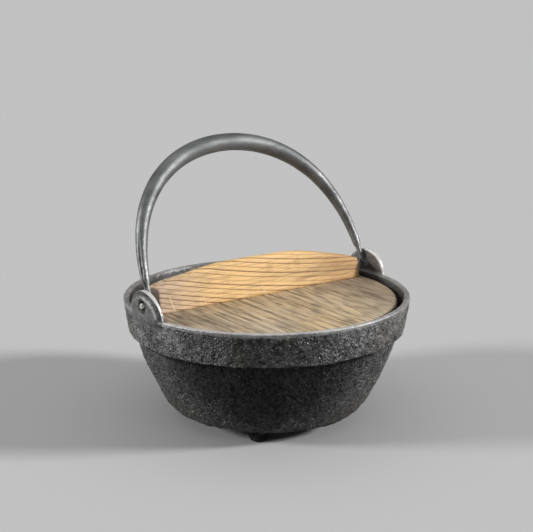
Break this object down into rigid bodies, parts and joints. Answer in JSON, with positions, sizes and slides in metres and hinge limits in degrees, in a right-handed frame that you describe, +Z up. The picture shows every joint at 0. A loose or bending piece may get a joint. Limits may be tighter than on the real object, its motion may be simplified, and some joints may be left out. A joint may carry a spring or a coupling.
{
  "type": "hearth pot",
  "caption": "Cast iron hearth pot on stub feet, with a swinging iron bail hooked through cast ears and a wooden drop-in lid with a batten grip.",
  "frame": {"origin": "centre of the pot at the level of the soles of its feet", "axes": "+Z up along the pot's axis; +X along the line through the two ears, which is the bail's hinge line; +Y towards the side that the bail leans to"},
  "size_m": [0.224, 0.22, 0.2135],
  "materials": {
    "pot_iron": "rough sand cast",
    "bail_iron": "satin, hand worn",
    "lid_wood": "bare, weathered",
    "batten_wood": "bare, planed",
    "bamboo": "bare"
  },
  "bodies": {
    "pot": {"pot_body": "pot_iron"},
    "bail": {"bail_handle": "bail_iron"},
    "lid": {"lid_board_left": "lid_wood", "lid_board_right": "lid_wood", "lid_batten": "batten_wood", "lid_peg_1": "bamboo", "lid_peg_2": "bamboo", "lid_peg_3": "bamboo", "lid_peg_4": "bamboo"}
  },
  "joints": [
    {"name": "bail_swing", "type": "hinge", "parent": "pot", "child": "bail", "pos_m": [0, 0, 0.1035], "axis": [1, 0, 0], "range_deg": [-65, 117]},
    {"name": "lid_lift", "type": "slide", "parent": "pot", "child": "lid", "axis": [0, 0, 1], "range_m": [0, 0.017]}
  ]
}
